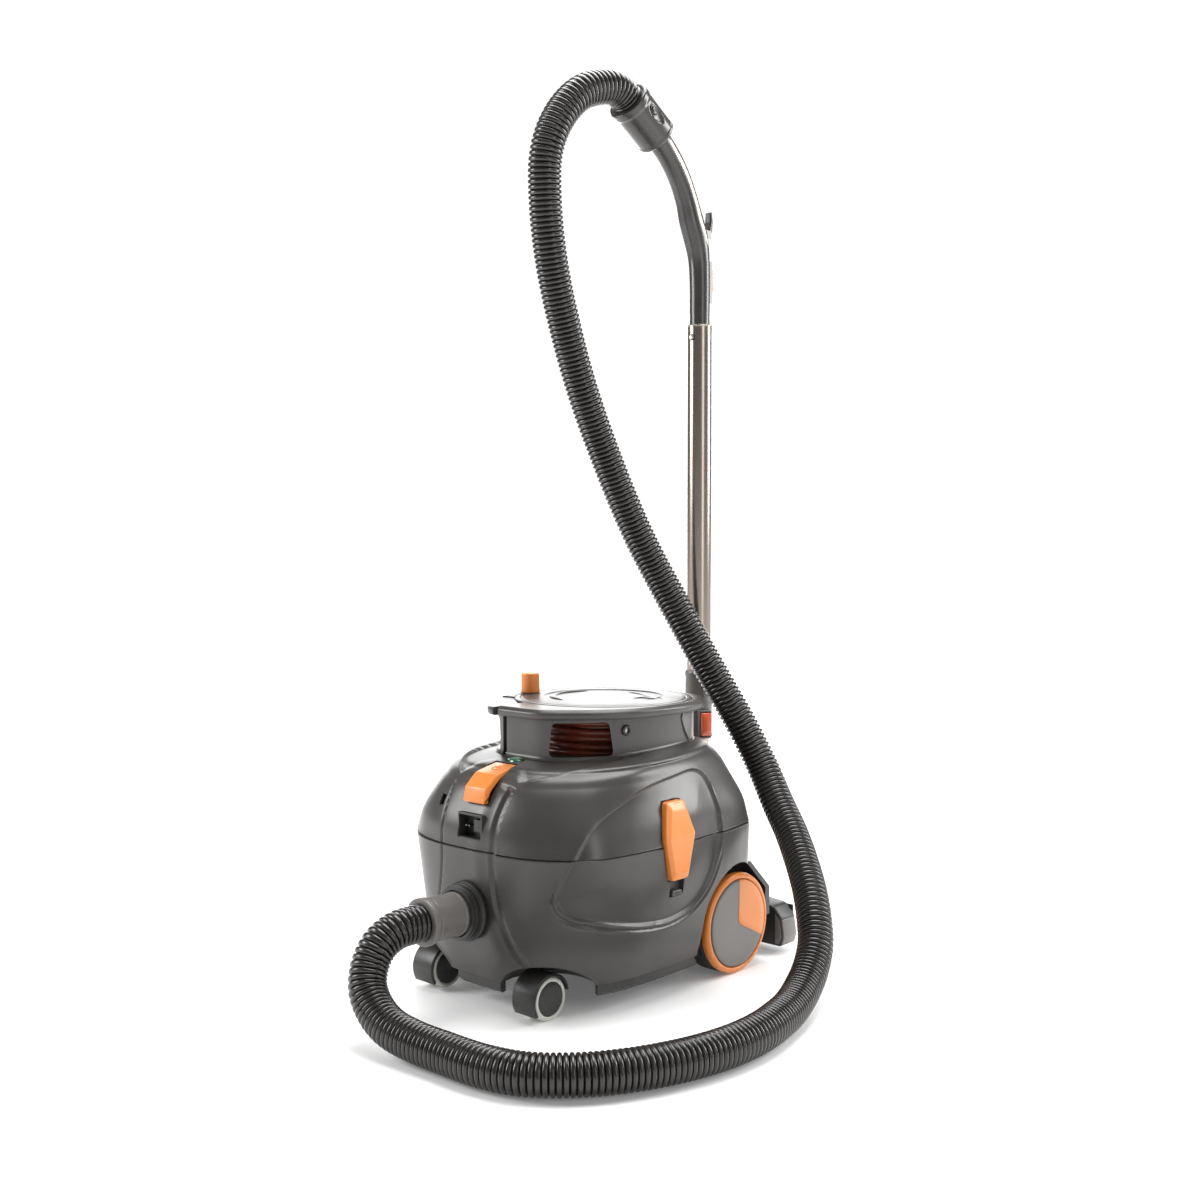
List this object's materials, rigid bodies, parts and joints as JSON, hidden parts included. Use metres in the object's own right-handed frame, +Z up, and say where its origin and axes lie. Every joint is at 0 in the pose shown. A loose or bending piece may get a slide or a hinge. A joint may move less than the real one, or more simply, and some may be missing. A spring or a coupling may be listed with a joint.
{
  "type": "canister vacuum cleaner",
  "caption": "Wheeled tub vacuum cleaner with lift-off head, hand-wound cable drum, free ribbed suction hose, telescopic steel wand and parked floor tool.",
  "frame": {"origin": "floor level, at the plan centre of the machine with its parked wand and floor tool, leaving out the hose", "axes": "+Z up, -Y towards the front where the hose enters, +X towards the machine's side that carries one latch"},
  "size_m": [0.55, 0.6576, 1.1903],
  "materials": {
    "housing_grey": "fine-grained satin",
    "trim_grey": "satin",
    "accent_orange": "satin",
    "button_red": "gloss",
    "black_plastic": "satin",
    "handle_plastic": "gloss",
    "lamp_green": "clear gloss",
    "wand_steel": "polished along its length",
    "zinc_steel": "satin",
    "motor_alloy": "cast",
    "tyre_black": "matte",
    "caster_grey": "matte",
    "seal_rubber": "matte",
    "cable_red": "satin",
    "hose_black": "ribbed, semi-gloss",
    "bag_fleece": "non-woven",
    "card_brown": "matte card",
    "filter_white": "pleated",
    "brush_bristle": "bristle"
  },
  "bodies": {
    "tub": {"tub_shell": "housing_grey", "tub_seal": "seal_rubber", "chassis_base": "black_plastic", "park_bracket": "black_plastic", "inlet_collar": "black_plastic", "suction_hose": "hose_black", "dust_bag": "bag_fleece", "bag_collar": "card_brown", "rear_axle_r": "zinc_steel", "rear_axle_l": "zinc_steel", "wand_inner_tube": "wand_steel", "tool_neck": "black_plastic"},
    "head": {"hood_shell": "housing_grey", "indicator_lamp": "lamp_green", "power_socket": "black_plastic", "motor_deck": "black_plastic", "fan_motor": "motor_alloy", "exhaust_filter": "filter_white", "drum_housing": "housing_grey", "neck_screw_r": "zinc_steel", "neck_screw_l": "zinc_steel", "lid_plate": "housing_grey", "cable_guide": "housing_grey"},
    "latch_right": {"latch_r": "accent_orange"},
    "latch_left": {"latch_l": "accent_orange"},
    "power_key": {"power_button": "accent_orange"},
    "winder": {"winding_disc": "housing_grey", "cable_reel": "black_plastic", "wound_cable": "cable_red"},
    "crank": {"crank_knob": "accent_orange"},
    "flap": {"cable_flap": "black_plastic"},
    "fan": {"fan_impeller": "motor_alloy"},
    "rear_door": {"exhaust_door": "trim_grey"},
    "hose_inlet_end": {"hose_connector": "trim_grey"},
    "wheel_right": {"rear_tyre_r": "tyre_black", "rear_rim_r": "accent_orange", "rear_cap_r": "trim_grey"},
    "wheel_left": {"rear_tyre_l": "tyre_black", "rear_rim_l": "accent_orange", "rear_cap_l": "trim_grey"},
    "caster_right": {"caster_yoke_r": "black_plastic"},
    "caster_left": {"caster_yoke_l": "black_plastic"},
    "caster_right_outer": {"caster_wheel_r_out": "caster_grey"},
    "caster_right_inner": {"caster_wheel_r_in": "caster_grey"},
    "caster_left_outer": {"caster_wheel_l_out": "caster_grey"},
    "caster_left_inner": {"caster_wheel_l_in": "caster_grey"},
    "wand_upper": {"wand_outer_tube": "wand_steel", "wand_collar": "wand_steel", "handle_grip": "handle_plastic"},
    "release_key": {"release_button": "button_red"},
    "snap_key": {"snap_button": "zinc_steel"},
    "lever": {"thumb_lever": "black_plastic"},
    "slider": {"air_slider": "accent_orange"},
    "cuff": {"hose_cuff": "handle_plastic"},
    "cuff_key": {"cuff_button": "black_plastic"},
    "floor_tool": {"floor_tool_body": "black_plastic", "tool_sole": "zinc_steel"},
    "pedal": {"tool_pedal": "trim_grey"},
    "brush": {"brush_strip": "brush_bristle"}
  },
  "joints": [
    {"name": "head_lift", "type": "slide", "parent": "tub", "child": "head", "axis": [0, 0, 1], "range_m": [0, 0.05]},
    {"name": "latch_right_hinge", "type": "hinge", "parent": "head", "child": "latch_right", "pos_m": [0.154, -0.0045, 0.242], "axis": [0, -1, 0], "range_deg": [0, 35]},
    {"name": "latch_left_hinge", "type": "hinge", "parent": "head", "child": "latch_left", "pos_m": [-0.154, -0.0045, 0.242], "axis": [0, 1, 0], "range_deg": [0, 35]},
    {"name": "power_press", "type": "slide", "parent": "head", "child": "power_key", "axis": [0, 1, 0], "range_m": [0, 0.0025], "stiffness_N_per_m": 900},
    {"name": "drum_wind", "type": "hinge", "parent": "head", "child": "winder", "pos_m": [0, 0.045, 0.359], "axis": [0, 0, 1], "continuous": true},
    {"name": "crank_spin", "type": "hinge", "parent": "winder", "child": "crank", "pos_m": [-0.0975, 0.004, 0.375], "axis": [0, 0, 1], "continuous": true},
    {"name": "flap_hinge", "type": "hinge", "parent": "winder", "child": "flap", "pos_m": [0.061, 0.071, 0.357], "axis": [-1, 0, 0], "range_deg": [0, 85]},
    {"name": "fan_spin", "type": "hinge", "parent": "head", "child": "fan", "pos_m": [0, 0.0035, 0.215], "axis": [0, 0, 1], "continuous": true},
    {"name": "rear_door_hinge", "type": "hinge", "parent": "head", "child": "rear_door", "pos_m": [0, 0.2019, 0.2096], "axis": [-1, 0, 0], "range_deg": [0, 60]},
    {"name": "inlet_swivel", "type": "hinge", "parent": "tub", "child": "hose_inlet_end", "pos_m": [0, -0.2465, 0.119], "axis": [0, -1, 0], "continuous": true},
    {"name": "wheel_right_spin", "type": "hinge", "parent": "tub", "child": "wheel_right", "pos_m": [0.13, 0.1321, 0.066], "axis": [1, 0, 0], "continuous": true},
    {"name": "wheel_left_spin", "type": "hinge", "parent": "tub", "child": "wheel_left", "pos_m": [-0.13, 0.1321, 0.066], "axis": [1, 0, 0], "continuous": true},
    {"name": "caster_right_swivel", "type": "hinge", "parent": "tub", "child": "caster_right", "pos_m": [0.091, -0.1535, 0.06], "axis": [0, 0, 1], "continuous": true},
    {"name": "caster_left_swivel", "type": "hinge", "parent": "tub", "child": "caster_left", "pos_m": [-0.091, -0.1535, 0.06], "axis": [0, 0, 1], "continuous": true},
    {"name": "caster_right_outer_spin", "type": "hinge", "parent": "caster_right", "child": "caster_right_outer", "pos_m": [0.1, -0.1655, 0.026], "axis": [1, 0, 0], "continuous": true},
    {"name": "caster_right_inner_spin", "type": "hinge", "parent": "caster_right", "child": "caster_right_inner", "pos_m": [0.08, -0.1655, 0.026], "axis": [1, 0, 0], "continuous": true},
    {"name": "caster_left_outer_spin", "type": "hinge", "parent": "caster_left", "child": "caster_left_outer", "pos_m": [-0.1, -0.1655, 0.026], "axis": [1, 0, 0], "continuous": true},
    {"name": "caster_left_inner_spin", "type": "hinge", "parent": "caster_left", "child": "caster_left_inner", "pos_m": [-0.08, -0.1655, 0.026], "axis": [1, 0, 0], "continuous": true},
    {"name": "wand_telescope", "type": "slide", "parent": "tub", "child": "wand_upper", "axis": [0, 0, 1], "range_m": [0, 0.3], "deforming": ["suction_hose"]},
    {"name": "release_press", "type": "slide", "parent": "wand_upper", "child": "release_key", "axis": [-0.9136, 0.4067, 0], "range_m": [0, 0.0022], "stiffness_N_per_m": 800},
    {"name": "snap_press", "type": "slide", "parent": "wand_upper", "child": "snap_key", "axis": [0, 1, 0], "range_m": [0, 0.003], "stiffness_N_per_m": 700},
    {"name": "lever_pull", "type": "hinge", "parent": "wand_upper", "child": "lever", "pos_m": [0, 0.263, 1.006], "axis": [1, 0, 0], "range_deg": [0, 12], "stiffness_Nm_per_rad": 0.4},
    {"name": "air_slide", "type": "slide", "parent": "wand_upper", "child": "slider", "axis": [0, 0, 1], "range_m": [0, 0.01]},
    {"name": "cuff_swivel", "type": "hinge", "parent": "wand_upper", "child": "cuff", "pos_m": [0, 0.1535, 1.1225], "axis": [0, -0.8538, 0.5206], "continuous": true},
    {"name": "cuff_press", "type": "slide", "parent": "cuff", "child": "cuff_key", "axis": [-1, 0, 0], "range_m": [0, 0.002], "stiffness_N_per_m": 600},
    {"name": "tool_tilt", "type": "hinge", "parent": "tub", "child": "floor_tool", "pos_m": [0, 0.2495, 0.098], "axis": [1, 0, 0], "range_deg": [0, 80]},
    {"name": "pedal_rock", "type": "hinge", "parent": "floor_tool", "child": "pedal", "pos_m": [0, 0.2375, 0.046], "axis": [1, 0, 0], "range_deg": [0, 8]},
    {"name": "brush_drop", "type": "slide", "parent": "floor_tool", "child": "brush", "axis": [0, 1, 0], "range_m": [0, 0.006]}
  ],
  "couplings": [
    {"joint": "brush_drop", "follows": "pedal_rock", "m_per_rad": 0.036}
  ]
}
